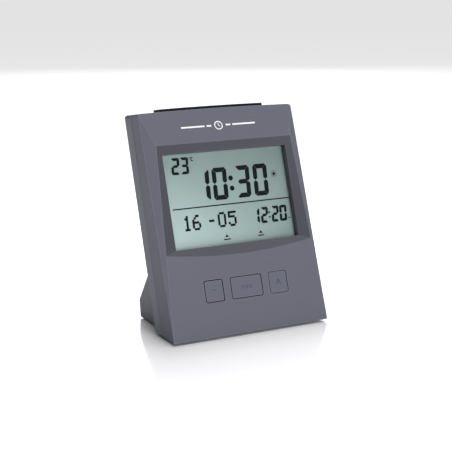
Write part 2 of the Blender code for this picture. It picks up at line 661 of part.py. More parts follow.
def make_speaker():
    """A small loudspeaker against the grille: basket, cone, magnet and a clamping ring."""
    at = (0, 0, SPEAKER_HEIGHT)
    basket = bmesh.new()
    add_turned(basket, [(21.8, 13.6), (21.8, 15.8), (20.8, 15.8), (20.8, 14.2), (19.2, 9.0), (18.6, 9.0),
                        (18.6, 5.2), (19.4, 5.2), (19.9, 8.4), (21.0, 13.2), (21.8, 13.6)], at, (0, 1, 0), 28)
    add_object("speaker_basket", basket, FACE, STEEL, smooth=30)
    cone = bmesh.new()
    add_turned(cone, [(21.5, 0.0), (21.2, 3.2), (20.6, 4.4), (21.7, 12.8), (21.4, 12.8), (20.3, 4.4),
                      (20.2, 0.0)], at, (0, 1, 0), 28)
    add_object("speaker_cone", cone, FACE, PAPER, smooth=40)
    magnet = bmesh.new()
    add_turned(magnet, [(15.4, 0.0), (15.4, 7.6), (15.7, 8.0), (18.0, 8.0), (18.3, 7.6), (18.3, 0.0)],
               at, (0, 1, 0), 28)
    add_object("speaker_magnet", magnet, FACE, STEEL, smooth=30)
    ring = bmesh.new()
    add_turned(ring, [(17.6, 15.0), (17.6, 18.6), (18.7, 18.6), (18.7, 16.0), (20.5, 16.0), (20.5, 15.0),
                      (17.6, 15.0)], at, (0, 1, 0), 28)
    add_object("speaker_ring", ring, FACE, BLACK, smooth=30)


def make_battery_parts():
    nub = BAY_HALF - 1.1
    for name, z in CELL_ROWS.items():
        side = -1 if name == "battery_lower" else 1
        bm = bmesh.new()
        shoulder = CELL_LENGTH - 1.1
        add_turned(bm, [(0.0, 0.0), (0.0, 6.4), (0.3, CELL_RADIUS), (shoulder - 0.3, CELL_RADIUS),
                        (shoulder, 6.5), (shoulder, 2.75), (CELL_LENGTH, 2.6), (CELL_LENGTH, 0.0)],
                   (side * (nub - CELL_LENGTH), CELL_DEPTH, z), (side, 0, 0), sides=24)
        add_object(name, bm, BAY, CELL_WRAP, smooth=30)

    low = CELL_ROWS["battery_lower"]
    high = CELL_ROWS["battery_upper"]
    left = -BAY_HALF + 0.3
    for name, z in (("positive_contact", low), ("negative_contact", high)):
        bm = bmesh.new()
        plate = [(left, -4.0, z - 5.5), (left, -4.0, z + 5.5), (left, BAY_FLOOR + 0.4, z + 5.5),
                 (left, BAY_FLOOR + 0.4, z + 1.8), (left, BAY_FLOOR - 3.2, z + 1.8),
                 (left, BAY_FLOOR - 3.2, z - 1.8), (left, BAY_FLOOR + 0.4, z - 1.8),
                 (left, BAY_FLOOR + 0.4, z - 5.5)]
        add_outline(bm, plate, (0.4, 0, 0))
        add_object(name, bm, BAY, STEEL)
    block_node("bridge_contact", (-left - 0.4, -15.5, low - 5.5), (-left, -4.0, high + 5.5), STEEL, BAY)

    for name, side, z in (("bridge_spring", 1, low), ("negative_spring", -1, high)):
        start = side * (-left - 0.4 - GAP - 0.4)
        end = side * (CELL_LENGTH - nub + 0.8)
        route = []
        for k in range(SPRING_TURNS * 10 + 1):
            f = k / (SPRING_TURNS * 10)
            a = 2 * math.pi * SPRING_TURNS * f
            radius = SPRING_RADII[0] + (SPRING_RADII[1] - SPRING_RADII[0]) * f
            route.append((start + (end - start) * f, CELL_DEPTH + radius * math.cos(a),
                          z + radius * math.sin(a)))
        add_tube(name, route, SPRING_WIRE, BAY, STEEL, resolution=1)


def make_battery_cover():
    bm = bmesh.new()
    add_block(bm, (-COVER_HALF, -COVER_THICK, COVER_LOW), (COVER_HALF, 0, COVER_HIGH))
    cover = add_object("battery_cover", bm, BAY, GREY)
    soften(cover, 0.3, 40)
    ribs = bmesh.new()
    for x in COVER_RIBS:
        add_block(ribs, (x - 0.6, -COVER_THICK - 0.7, COVER_LOW + 3),
                  (x + 0.6, -COVER_THICK + 0.5, COVER_HIGH - 6))
    boolean(cover, add_object("cover_ribs", ribs, BAY), "UNION")
    grip = bmesh.new()
    add_rod(grip, (-GRIP_HALF, 3.6, COVER_HIGH - 6), (GRIP_HALF, 3.6, COVER_HIGH - 6), 4.6, sides=32)
    boolean(cover, add_object("cover_grip", grip, BAY), "DIFFERENCE")


# ---------------------------------------------------------------- fasteners, feet and wires

def make_fasteners():
    seat = SCREW_SEAT + GAP
    for number, (x, z) in enumerate(BOSS_SPOTS, 1):
        screw = bmesh.new()
        add_turned(screw, [(7.0, 0.0), (8.0, 0.8), (seat, 0.8), (seat, 2.05), (seat + 0.8, 1.9),
                           (seat + 1.4, 1.2), (seat + 1.5, 0.0)], (x, 0, z), (0, 1, 0), sides=12)
        add_object(f"housing_screw_{number}", screw, FACE, STEEL, smooth=40)

    for row, spots, depth, top in (("front", FRONT_PADS, FRONT_PAD_DEPTH, FRONT_LIFT + PAD_SINK),
                                   ("rear", REAR_PADS, REAR_PAD_DEPTH, FOOT_BASE + PAD_SINK)):
        for side, x in zip(("left", "right"), spots):
            pad = bmesh.new()
            add_turned(pad, [(0.0, 0.0), (0.0, PAD_RADIUS - 0.4), (0.3, PAD_RADIUS), (top, PAD_RADIUS),
                             (top, 0.0)],
                       (x, depth, 0), (0, 0, 1), sides=20)
            add_object(f"{row}_foot_{side}", pad, TABLE, DARK_RUBBER, smooth=40)


def bay_to_face(point):
    """A point of the bay frame, in the face frame."""
    x, y, z = point
    depth = FOOT_KNEE[0] + y * math.cos(SLOPE_ANGLE) - z * math.sin(SLOPE_ANGLE)
    height = FOOT_KNEE[1] + y * math.sin(SLOPE_ANGLE) + z * math.cos(SLOPE_ANGLE) - FRONT_LIFT
    return (x, depth * math.cos(LEAN) - height * math.sin(LEAN),
            depth * math.sin(LEAN) + height * math.cos(LEAN))


def make_wires():
    """Leads inside the case, each ending a little short of what it is soldered to."""
    solder = BOARD_BACK + GAP + 0.5
    for name, row, mat, landing in (("battery_lead_red", "battery_lower", RED, (-30, solder, 20.0)),
                                    ("battery_lead_black", "battery_upper", WIRE_BLACK, (-24, solder, 24.0))):
        tab = bay_to_face((-BAY_HALF + 0.5, BAY_FLOOR - 4.2, CELL_ROWS[row]))
        middle = Vector(landing) * 0.5 + Vector(tab) * 0.5 + Vector((0, 0, -1.2))
        before = Vector(landing) + Vector((0, 1.6, -0.2))
        add_tube(name, smooth_route([tab, middle, before, landing]), 0.5, FACE, mat)
    for name, side, mat in (("speaker_lead_red", 1, RED), ("speaker_lead_black", -1, WIRE_BLACK)):
        route = [(side * 4.0, 19.0, SPEAKER_HEIGHT - 19.6), (side * 4.4, 18.0, SPEAKER_HEIGHT - 21.5),
                 (side * 5.2, 16.0, SPEAKER_HEIGHT - 23.0), (side * 6.0, solder, SPEAKER_HEIGHT - 23.5)]
        add_tube(name, smooth_route(route), 0.45, FACE, mat)
    under = BAR_BOARD_TOP - 1.2 - GAP - 0.2
    for name, x, mat in (("bar_lead_red", 5.0, RED), ("bar_lead_black", 8.0, WIRE_BLACK)):
        route = [(x, 18.6, under), (x + 0.2, 18.2, under - 1.4), (x + 0.4, 16.6, under - 2.6),
                 (x + 0.6, solder, 112.6)]
        add_tube(name, smooth_route(route), 0.45, FACE, mat)


make_front_housing()
make_rear_housing()
make_display()
make_boards()
make_keys()
make_top_bar()
make_reset_key()
make_speaker()
make_battery_parts()
make_battery_cover()
make_fasteners()
make_wires()
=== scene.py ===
import math

import bmesh
import bpy
from mathutils import Matrix, Vector


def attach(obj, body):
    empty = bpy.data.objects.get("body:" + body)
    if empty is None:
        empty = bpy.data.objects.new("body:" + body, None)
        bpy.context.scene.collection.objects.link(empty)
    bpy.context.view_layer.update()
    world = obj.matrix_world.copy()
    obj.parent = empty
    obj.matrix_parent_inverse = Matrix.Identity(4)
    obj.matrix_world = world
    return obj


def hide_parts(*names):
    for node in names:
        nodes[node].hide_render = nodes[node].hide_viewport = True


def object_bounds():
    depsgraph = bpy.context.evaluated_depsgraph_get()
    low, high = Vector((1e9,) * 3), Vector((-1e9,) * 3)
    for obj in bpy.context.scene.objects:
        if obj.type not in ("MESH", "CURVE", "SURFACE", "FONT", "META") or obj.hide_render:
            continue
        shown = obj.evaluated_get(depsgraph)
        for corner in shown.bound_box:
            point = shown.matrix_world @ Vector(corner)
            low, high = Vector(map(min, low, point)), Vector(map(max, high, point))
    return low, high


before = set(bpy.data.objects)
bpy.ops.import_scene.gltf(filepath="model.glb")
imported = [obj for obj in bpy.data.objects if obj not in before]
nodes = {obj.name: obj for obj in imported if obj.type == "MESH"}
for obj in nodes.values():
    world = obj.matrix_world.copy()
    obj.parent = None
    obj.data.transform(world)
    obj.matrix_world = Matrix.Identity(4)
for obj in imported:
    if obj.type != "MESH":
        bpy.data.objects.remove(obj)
cad_low, cad_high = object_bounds()


# ------------------------------------------------------------------ camera
# A long lens a little above the clock and to its left, so that the front, the left side
# and the slope of the foot all show.

look_at = Vector((-0.00738, -0.01290, 0.06018))
eye = Vector((-0.31543, -0.59853, 0.20473))
camera_roll = math.radians(-0.419)
camera = bpy.data.objects.new("camera", bpy.data.cameras.new("camera"))
camera.data.lens = 94.25
camera.data.sensor_width = 36.0
camera.location = eye
toward = (look_at - eye).to_track_quat("-Z", "Y")
camera.rotation_euler = (toward.to_matrix() @ Matrix.Rotation(camera_roll, 3, "Z")).to_euler()
bpy.context.collection.objects.link(camera)
bpy.context.scene.camera = camera


# ------------------------------------------------------------------ table and studio light
# A wide white acrylic table that mirrors a little and is lit from below, with one soft box
# in front of the clock, one over it and one behind it. The tent round them is dim.

floor_half = 12.0
bm = bmesh.new()
bmesh.ops.create_grid(bm, x_segments=1, y_segments=1, size=floor_half)
floor_mesh = bpy.data.meshes.new("table_top")
bm.to_mesh(floor_mesh)
bm.free()
floor = bpy.data.objects.new("table_top", floor_mesh)
bpy.context.collection.objects.link(floor)

acrylic = bpy.data.materials.new("white acrylic table")
acrylic.use_nodes = True
shader = acrylic.node_tree.nodes["Principled BSDF"]
shader.inputs["Base Color"].default_value = (0.86, 0.86, 0.87, 1.0)
shader.inputs["Roughness"].default_value = 0.13
shader.inputs["IOR"].default_value = 1.38
shader.inputs["Emission Color"].default_value = (1.0, 1.0, 1.0, 1.0)
floor_mesh.materials.append(acrylic)

# The table glows as if lit from below; the glow is cut down under the clock and close around it, a painted
# shadow set by the clock's footprint.
GLOW_REACH = 0.5
GLOW_AND_PAINTED_SHADOW_STEPS = ((0.0, 0.0), (0.01, 0.12), (0.05, 0.26), (0.15, 0.45), (1.0, 0.66))
tree = acrylic.node_tree
table_place = tree.nodes.new("ShaderNodeTexCoord")
from_centre = tree.nodes.new("ShaderNodeVectorMath")
from_centre.operation = "ABSOLUTE"
past_foot = tree.nodes.new("ShaderNodeVectorMath")
past_foot.operation = "SUBTRACT"
past_foot.inputs[1].default_value = (cad_high.x, cad_high.y, 0.0)
outside = tree.nodes.new("ShaderNodeVectorMath")
outside.operation = "MAXIMUM"
distance = tree.nodes.new("ShaderNodeVectorMath")
distance.operation = "LENGTH"
share = tree.nodes.new("ShaderNodeMath")
share.operation = "DIVIDE"
share.inputs[1].default_value = GLOW_REACH
glow_with_painted_shadow = tree.nodes.new("ShaderNodeValToRGB")
marks = glow_with_painted_shadow.color_ramp.elements
for place, level in GLOW_AND_PAINTED_SHADOW_STEPS[1:-1]:
    marks.new(place)
for mark, (place, level) in zip(marks, GLOW_AND_PAINTED_SHADOW_STEPS):
    mark.color = (level, level, level, 1.0)
tree.links.new(table_place.outputs["Object"], from_centre.inputs[0])
tree.links.new(from_centre.outputs["Vector"], past_foot.inputs[0])
tree.links.new(past_foot.outputs["Vector"], outside.inputs[0])
tree.links.new(outside.outputs["Vector"], distance.inputs[0])
tree.links.new(distance.outputs["Value"], share.inputs[0])
tree.links.new(share.outputs["Value"], glow_with_painted_shadow.inputs["Fac"])
tree.links.new(glow_with_painted_shadow.outputs["Color"], shader.inputs["Emission Strength"])

world = bpy.data.worlds.new("light tent")
bpy.context.scene.world = world
world.use_nodes = True
tree = world.node_tree
background = tree.nodes["Background"]
background.inputs["Strength"].default_value = 0.12
sky_place = tree.nodes.new("ShaderNodeTexCoord")
sky_axes = tree.nodes.new("ShaderNodeSeparateXYZ")
sky_ramp = tree.nodes.new("ShaderNodeValToRGB")
sky_ramp.color_ramp.elements[0].position = 0.0
sky_ramp.color_ramp.elements[0].color = (0.98, 0.98, 1.0, 1.0)
sky_ramp.color_ramp.elements[1].position = 0.9
sky_ramp.color_ramp.elements[1].color = (0.62, 0.62, 0.66, 1.0)
tree.links.new(sky_place.outputs["Generated"], sky_axes.inputs["Vector"])
tree.links.new(sky_axes.outputs["Z"], sky_ramp.inputs["Fac"])
tree.links.new(sky_ramp.outputs["Color"], background.inputs["Color"])


def soft_lamp(name, place, size, watts):
    """A square soft box that faces the clock."""
    lamp = bpy.data.lights.new(name, "AREA")
    lamp.shape = "SQUARE"
    lamp.size = size
    lamp.energy = watts
    holder = bpy.data.objects.new(name, lamp)
    holder.location = place
    holder.rotation_euler = (look_at - Vector(place)).to_track_quat("-Z", "Y").to_euler()
    bpy.context.collection.objects.link(holder)


soft_lamp("front_soft_box", (-0.12, -1.5, 0.30), 0.9, 17.0)
soft_lamp("overhead_soft_box", (0.15, 0.1, 1.5), 1.2, 16.0)
soft_lamp("rear_soft_box", (0.7, 1.4, 0.7), 0.9, 9.0)

bpy.context.scene.view_settings.view_transform = "Standard"


# ------------------------------------------------------------------ front housing
# The front half of the case, one moulding in grey ABS with a fine spark-eroded texture.
# It carries the sloping display surround and meets the rear housing at the seam.

MM = 0.001
LEAN = math.radians(17.55)
FACE = (Matrix.Translation((0.0, -31.7 * MM, 1.5 * MM)) @ Matrix.Rotation(-LEAN, 4, "X")
        @ Matrix.Scale(MM, 4))


def add_node(material, kind, **values):
    """A shader node with some of its settings or unlinked sockets given."""
    node = material.node_tree.nodes.new(kind)
    for key, value in values.items():
        if key in node.inputs:
            node.inputs[key].default_value = value
        else:
            setattr(node, key, value)
    return node


def link(material, source, target):
    material.node_tree.links.new(source, target)


def shade(color, factor):
    return (color[0] * factor, color[1] * factor, color[2] * factor, 1.0)


def blank_material(name, color, roughness):
    """A Principled material with its plain values set, ready for its pattern."""
    material = bpy.data.materials.new(name)
    material.use_nodes = True
    principled = material.node_tree.nodes["Principled BSDF"]
    principled.inputs["Base Color"].default_value = (*color, 1.0)
    principled.inputs["Roughness"].default_value = roughness
    return material, principled


def mottle(material, principled, color, spread, scale):
    """Slow colour variation, as a moulding has from its flow and from handling."""
    place = add_node(material, "ShaderNodeTexCoord")
    cloud = add_node(material, "ShaderNodeTexNoise", Scale=scale, Detail=4.0, Roughness=0.6)
    tone = add_node(material, "ShaderNodeMixRGB")
    tone.inputs["Color1"].default_value = shade(color, 1.0 - spread)
    tone.inputs["Color2"].default_value = shade(color, 1.0 + spread)
    link(material, place.outputs["Object"], cloud.inputs["Vector"])
    link(material, cloud.outputs["Fac"], tone.inputs["Fac"])
    link(material, tone.outputs["Color"], principled.inputs["Base Color"])
    return place, cloud, tone


def grain(material, principled, place, scale, depth, strength):
    """Fine surface grain as bump, in metres of depth."""
    speck = add_node(material, "ShaderNodeTexNoise", Scale=scale, Detail=2.0, Roughness=0.5)
    bump = add_node(material, "ShaderNodeBump", Strength=strength, Distance=depth)
    link(material, place.outputs["Object"], speck.inputs["Vector"])
    link(material, speck.outputs["Fac"], bump.inputs["Height"])
    link(material, bump.outputs["Normal"], principled.inputs["Normal"])
    return speck


def roughness_drift(material, principled, source, low, high):
    drift = add_node(material, "ShaderNodeMapRange")
    drift.inputs["To Min"].default_value = low
    drift.inputs["To Max"].default_value = high
    link(material, source, drift.inputs["Value"])
    link(material, drift.outputs["Result"], principled.inputs["Roughness"])


def edge_highlight_and_wear(material, principled, tone, highlight_color, width, amount):
    """Paler edges: a painted edge highlight along sharp edges, with some polish where hands rub the
    texture down.
    """
    rounded = add_node(material, "ShaderNodeBevel", samples=4, Radius=width)
    flat = add_node(material, "ShaderNodeNewGeometry")
    likeness = add_node(material, "ShaderNodeVectorMath", operation="DOT_PRODUCT")
    ramp = add_node(material, "ShaderNodeMapRange")
    ramp.inputs["From Min"].default_value = 0.999
    ramp.inputs["From Max"].default_value = 0.93
    ramp.inputs["To Max"].default_value = amount
    highlighted_edges = add_node(material, "ShaderNodeMixRGB")
    highlighted_edges.inputs["Color2"].default_value = (*highlight_color, 1.0)
    link(material, rounded.outputs["Normal"], likeness.inputs[0])
    link(material, flat.outputs["Normal"], likeness.inputs[1])
    link(material, likeness.outputs["Value"], ramp.inputs["Value"])
    link(material, ramp.outputs["Result"], highlighted_edges.inputs["Fac"])
    link(material, tone.outputs["Color"], highlighted_edges.inputs["Color1"])
    link(material, highlighted_edges.outputs["Color"], principled.inputs["Base Color"])


def case_plastic(name, color, roughness, grain_depth, sheen=0.12):
    """Grey moulded ABS: spark-eroded grain, faint flow clouds and paler edges, a painted highlight with
    some rubbing wear.
    """
    material, principled = blank_material(name, color, roughness)
    place, cloud, tone = mottle(material, principled, color, 0.035, 26.0)
    speck = grain(material, principled, place, 2600.0, grain_depth, 0.35)
    roughness_drift(material, principled, speck.outputs["Fac"], roughness - 0.05, roughness + 0.06)
    edge_highlight_and_wear(material, principled, tone, [c * 1.9 for c in color], 0.5 * MM, 0.9)
    principled.inputs["Specular IOR Level"].default_value = sheen
    return material


def moulded_copy(node, name, material, body, sharp=30.0, edge=0.0):
    """A clean copy of a CAD moulding: merged, with its long flat faces joined up again, its
    sharp edges broken by a small radius and its curved faces shaded smooth."""
    bm = bmesh.new()
    bm.from_mesh(nodes[node].data)
    bmesh.ops.remove_doubles(bm, verts=bm.verts, dist=1e-6)
    bmesh.ops.dissolve_limit(bm, angle_limit=math.radians(0.4), verts=bm.verts, edges=bm.edges)
    mesh = bpy.data.meshes.new(name)
    bm.to_mesh(mesh)
    bm.free()
    mesh.materials.clear()
    mesh.materials.append(material)
    for face in mesh.polygons:
        face.material_index = 0
    mesh.shade_smooth()
    mesh.set_sharp_from_angle(angle=math.radians(sharp))
    piece = bpy.data.objects.new(name, mesh)
    bpy.context.collection.objects.link(piece)
    if edge:
        soft = piece.modifiers.new("broken edges", "BEVEL")
        soft.width = edge
        soft.segments = 2
        soft.limit_method = "ANGLE"
        soft.angle_limit = math.radians(40.0)
        soft.use_clamp_overlap = True
    even = piece.modifiers.new("even shading", "WEIGHTED_NORMAL")
    even.keep_sharp = True
    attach(piece, body)
    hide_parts(node)
    return piece


GREY = (0.132, 0.134, 0.169)
grey_abs = case_plastic("grey case plastic", GREY, 0.42, 0.00004)
front_case = moulded_copy("front_housing", "front_case", grey_abs, "clock")

# The slopes round the display get a painted shade, darkest on the top and side slopes and a lighter
# painted shade on the bottom slope that faces up.
SURROUND_HALF = 43.7
SURROUND_LOW = 44.9
SURROUND_TOP = 110.9
SURROUND_DEPTH = 4.95
SURROUND_PAINTED_SHADE = (0.071, 0.073, 0.087)
LOWER_SURROUND_PAINTED_SHADE = (0.092, 0.094, 0.109)
VIEW_LOW = 51.2
front_case.data.materials.append(case_plastic("surround painted shade", SURROUND_PAINTED_SHADE, 0.34, 0.00003))
front_case.data.materials.append(case_plastic("lower surround lighter painted shade", LOWER_SURROUND_PAINTED_SHADE, 0.36, 0.00003))
to_face = FACE.inverted()
for face in front_case.data.polygons:
    middle = to_face @ face.center
    within = abs(middle.x) < SURROUND_HALF and SURROUND_LOW < middle.z < SURROUND_TOP
    if within and 0.02 < middle.y < SURROUND_DEPTH:
        face.material_index = 1 if middle.z > VIEW_LOW else 2


# ------------------------------------------------------------------ printed mark on the top band
# A plain white pad print: a little clock ring with two hands between short bars.
# It lies on the band, which leans back from the rest of the front.

BAND_FOOT = 111.0
BAND_DEPTH = 4.7
BAND_RISE = 130.5 - BAND_FOOT
BAND_TILT = math.atan2(BAND_DEPTH, BAND_RISE)
BAND = FACE @ Matrix.Translation((0.0, 0.0, BAND_FOOT)) @ Matrix.Rotation(-BAND_TILT, 4, "X")
PRINT_LIFT = 0.015
PRINT_ROOT = 0.05


def flat_shape(bm, points, front, back):
    """A flat outline of (across, up) points, drawn out between two depths."""
    face = bm.faces.new([bm.verts.new((x, back, z)) for x, z in points])
    out = bmesh.ops.extrude_face_region(bm, geom=[face])
    moved = [v for v in out["geom"] if isinstance(v, bmesh.types.BMVert)]
    bmesh.ops.translate(bm, verts=moved, vec=(0.0, front - back, 0.0))


def flat_bar(bm, x0, x1, z0, z1, front, back):
    flat_shape(bm, [(x0, z0), (x1, z0), (x1, z1), (x0, z1)], front, back)


def flat_ring(bm, centre, outer, inner, front, back, sides=40):
    """A flat ring: a strip of quads between two circles, drawn out."""
    rims = []
    for radius in (outer, inner):
        turn = Matrix.Translation((centre[0], back, centre[1])) @ Matrix.Rotation(math.pi / 2, 4, "X")
        made = bmesh.ops.create_circle(bm, segments=sides, radius=radius, matrix=turn)
        rims += list({e for v in made["verts"] for e in v.link_edges})
    strip = bmesh.ops.bridge_loops(bm, edges=rims)
    out = bmesh.ops.extrude_face_region(bm, geom=strip["faces"])
    moved = [v for v in out["geom"] if isinstance(v, bmesh.types.BMVert)]
    bmesh.ops.translate(bm, verts=moved, vec=(0.0, front - back, 0.0))


def flat_disc(bm, centre, radius, front, back, sides=28):
    points = []
    for k in range(sides):
        a = 2 * math.pi * k / sides
        points.append((centre[0] + radius * math.cos(a), centre[1] + radius * math.sin(a)))
    flat_shape(bm, points, front, back)


def make_piece(name, bm, place, material, body, sharp=None):
    """A bmesh in millimetres becomes a piece of the clock, placed in its mesh."""
    bmesh.ops.transform(bm, matrix=place, verts=bm.verts)
    bmesh.ops.recalc_face_normals(bm, faces=bm.faces)
    mesh = bpy.data.meshes.new(name)
    bm.to_mesh(mesh)
    bm.free()
    mesh.materials.append(material)
    if sharp is not None:
        mesh.shade_smooth()
        mesh.set_sharp_from_angle(angle=math.radians(sharp))
    piece = bpy.data.objects.new(name, mesh)
    bpy.context.collection.objects.link(piece)
    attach(piece, body)
    return piece


def print_ink(name, color, roughness):
    """Pad-printing ink: a thin, slightly uneven film."""
    material, principled = blank_material(name, color, roughness)
    place, cloud, tone = mottle(material, principled, color, 0.06, 400.0)
    grain(material, principled, place, 3000.0, 0.00003, 0.25)
    return material


white_ink = print_ink("white pad print", (0.86, 0.86, 0.86), 0.5)
MARK_CENTRE = (-1.5, 9.6)
MARK_RADIUS = 2.7
MARK_BARS = ((-25.5, -10.5), (-9.2, -6.2), (3.2, 6.2), (7.5, 22.5))
bm = bmesh.new()
flat_ring(bm, MARK_CENTRE, MARK_RADIUS, MARK_RADIUS - 0.6, -PRINT_LIFT, PRINT_ROOT)
for x, z, length, angle in ((0.0, 0.0, 1.7, 90.0), (0.0, 0.0, 1.3, -30.0)):
    a = math.radians(angle)
    along = Vector((math.cos(a), math.sin(a)))
    side = Vector((-along.y, along.x)) * 0.22
    foot = Vector(MARK_CENTRE) - along * 0.2
    tip = Vector(MARK_CENTRE) + along * length
    flat_shape(bm, [foot - side, tip - side, tip + side, foot + side], -PRINT_LIFT, PRINT_ROOT)
for x0, x1 in MARK_BARS:
    flat_bar(bm, x0, x1, MARK_CENTRE[1] - 0.5, MARK_CENTRE[1] + 0.5, -PRINT_LIFT, PRINT_ROOT)
make_piece("band_print", bm, BAND, white_ink, "clock")


# ------------------------------------------------------------------ display window and tape
# A thin acrylic window held against the back of the surround by a die-cut foam tape.
# Only its faint sheen shows.

def finish_node(node, material):
    """A CAD node takes a material in place of its own."""
    for place in nodes[node].material_slots:
        place.material = material


def soft_black(name, color, roughness, scale):
    """Foam, rubber and other matt black pieces, and the painted shade in the key gaps."""
    material, principled = blank_material(name, color, roughness)
    place, cloud, tone = mottle(material, principled, color, 0.18, 90.0)
    grain(material, principled, place, scale, 0.0001, 0.3)
    return material


foam_black = soft_black("black foam tape", (0.022, 0.022, 0.024), 0.85, 1800.0)
finish_node("window_tape", foam_black)

window_acrylic, principled = blank_material("clear window acrylic", (0.02, 0.025, 0.025), 0.04)
principled.inputs["Alpha"].default_value = 0.05
place = add_node(window_acrylic, "ShaderNodeTexCoord")
wave = grain(window_acrylic, principled, place, 60.0, 0.00002, 0.15)
roughness_drift(window_acrylic, principled, wave.outputs["Fac"], 0.03, 0.07)
finish_node("lcd_window", window_acrylic)


# ------------------------------------------------------------------ display cell and its figures
# A twisted-nematic cell with a grey-green reflective back: two glasses, and figures of dark
# segments and dots that are driven from the contact strip.

CELL_FRONT = 7.1
INK_FRONT = CELL_FRONT - 0.06
INK_BACK = CELL_FRONT + 0.02

# The cell's colour carries a painted reflection and a painted shade: lighter towards the lower left,
# darker towards the upper right.
CELL_PAINTED_GLARE = (0.60, 0.77, 0.76)
CELL_MIDDLE = (0.345, 0.455, 0.435)
CELL_PAINTED_DIM = (0.230, 0.310, 0.295)
cell_glass, principled = blank_material("display glass", CELL_MIDDLE, 0.28)
place = add_node(cell_glass, "ShaderNodeTexCoord")
axes = add_node(cell_glass, "ShaderNodeSeparateXYZ")
across = add_node(cell_glass, "ShaderNodeMapRange")
across.inputs["From Min"].default_value = -0.045
across.inputs["From Max"].default_value = 0.045
upward = add_node(cell_glass, "ShaderNodeMapRange")
upward.inputs["From Min"].default_value = 0.050
upward.inputs["From Max"].default_value = 0.105
both = add_node(cell_glass, "ShaderNodeMath", operation="ADD")
halved = add_node(cell_glass, "ShaderNodeMath", operation="MULTIPLY")
halved.inputs[1].default_value = 0.5
painted_glare_ramp = add_node(cell_glass, "ShaderNodeValToRGB")
painted_glare_ramp.color_ramp.elements[0].color = (*CELL_PAINTED_GLARE, 1.0)
painted_glare_ramp.color_ramp.elements[1].color = (*CELL_PAINTED_DIM, 1.0)
painted_glare_ramp.color_ramp.elements.new(0.45).color = (*CELL_MIDDLE, 1.0)
link(cell_glass, place.outputs["Object"], axes.inputs["Vector"])
link(cell_glass, axes.outputs["X"], across.inputs["Value"])
link(cell_glass, axes.outputs["Z"], upward.inputs["Value"])
link(cell_glass, across.outputs["Result"], both.inputs[0])
link(cell_glass, upward.outputs["Result"], both.inputs[1])
link(cell_glass, both.outputs["Value"], halved.inputs[0])
link(cell_glass, halved.outputs["Value"], painted_glare_ramp.inputs["Fac"])
link(cell_glass, painted_glare_ramp.outputs["Color"], principled.inputs["Base Color"])
grain(cell_glass, principled, place, 5200.0, 0.00001, 0.1)
finish_node("lcd_panel", cell_glass)

SEGMENTS = {"0": "abcdef", "1": "bc", "2": "abged", "3": "abgcd"}


def segment_shapes(width, height, stroke):
    """The seven segments of one figure as outlines: mitred at the corners, pointed at mid height."""
    cut = stroke * 0.5
    gap = stroke * 0.025
    point = stroke * 0.03
    mid = height / 2
    top = [(cut / 2 + gap, height - cut / 2), (cut + gap, height), (width - cut - gap, height),
           (width - cut / 2 - gap, height - cut / 2), (width - stroke - gap, height - stroke),
           (stroke + gap, height - stroke)]
    upper_left = [(cut / 2, height - cut / 2 - gap), (0.0, height - cut - gap),
                  (0.0, mid + stroke * 0.42 + point), (stroke / 2, mid + point),
                  (stroke, mid + stroke * 0.42 + point), (stroke, height - stroke - gap)]
    middle = [(stroke * 0.55 + point, mid), (stroke, mid + stroke * 0.48),
              (width - stroke, mid + stroke * 0.48), (width - stroke * 0.55 - point, mid),
              (width - stroke, mid - stroke * 0.48), (stroke, mid - stroke * 0.48)]

    def flip(points, across, down):
        return [(width - x if across else x, height - z if down else z) for x, z in points]

    return {"a": top, "b": flip(upper_left, True, False), "c": flip(upper_left, True, True),
            "d": flip(top, False, True), "e": flip(upper_left, False, True), "f": upper_left,
            "g": middle}


def add_figure(bm, figure, corner, width, height, stroke, slant):
    """One seven-segment figure with its lower left corner given."""
    shapes = segment_shapes(width, height, stroke)
    for name in SEGMENTS[figure]:
        points = [(corner[0] + x + z * slant, corner[1] + z) for x, z in shapes[name]]
        flat_shape(bm, points, INK_FRONT, INK_BACK)


DOT_FIGURES = {
    "1": ("00100", "01100", "00100", "00100", "00100", "00100", "01110"),
    "6": ("00110", "01000", "10000", "11110", "10001", "10001", "01110"),
    "0": ("01110", "10001", "10001", "10001", "10001", "10001", "01110"),
    "5": ("11111", "10000", "11110", "00001", "00001", "10001", "01110"),
    "-": ("00000", "00000", "00000", "01110", "00000", "00000", "00000"),
}


def add_dot_figure(bm, figure, corner, pitch_x, pitch_z, slant):
    """One figure of a five by seven dot matrix."""
    for row, line in enumerate(DOT_FIGURES[figure]):
        for column, lit in enumerate(line):
            if lit == "1":
                z = corner[1] + (6 - row) * pitch_z
                x = corner[0] + column * pitch_x + (z - corner[1]) * slant
                wide = pitch_x * 1.35
                high = pitch_z * 1.06
                flat_shape(bm, [(x, z), (x + wide, z), (x + wide + high * slant, z + high),
                                (x + high * slant, z + high)], INK_FRONT, INK_BACK)


display_ink = print_ink("display segments", (0.0010, 0.0045, 0.0085), 0.6)
display_ink.node_tree.nodes["Principled BSDF"].inputs["Specular IOR Level"].default_value = 0.15
TIME_SLANT = math.tan(math.radians(2.6))
TIME_SIZE = (9.5, 18.9, 2.75)
SMALL_SIZE = (5.3, 9.8, 1.62)
ALARM_SIZE = (4.95, 9.5, 1.62)
DOT_PITCH = (1.0, 1.25)
bm = bmesh.new()
for figure, x in (("1", -20.2), ("0", -8.8), ("3", 6.3), ("0", 18.2)):
    add_figure(bm, figure, (x, 77.5), *TIME_SIZE, TIME_SLANT)
for z in (83.6, 89.6):
    flat_disc(bm, (3.75, z), 1.5, INK_FRONT, INK_BACK)
make_piece("time_figures", bm, FACE, display_ink, "clock")

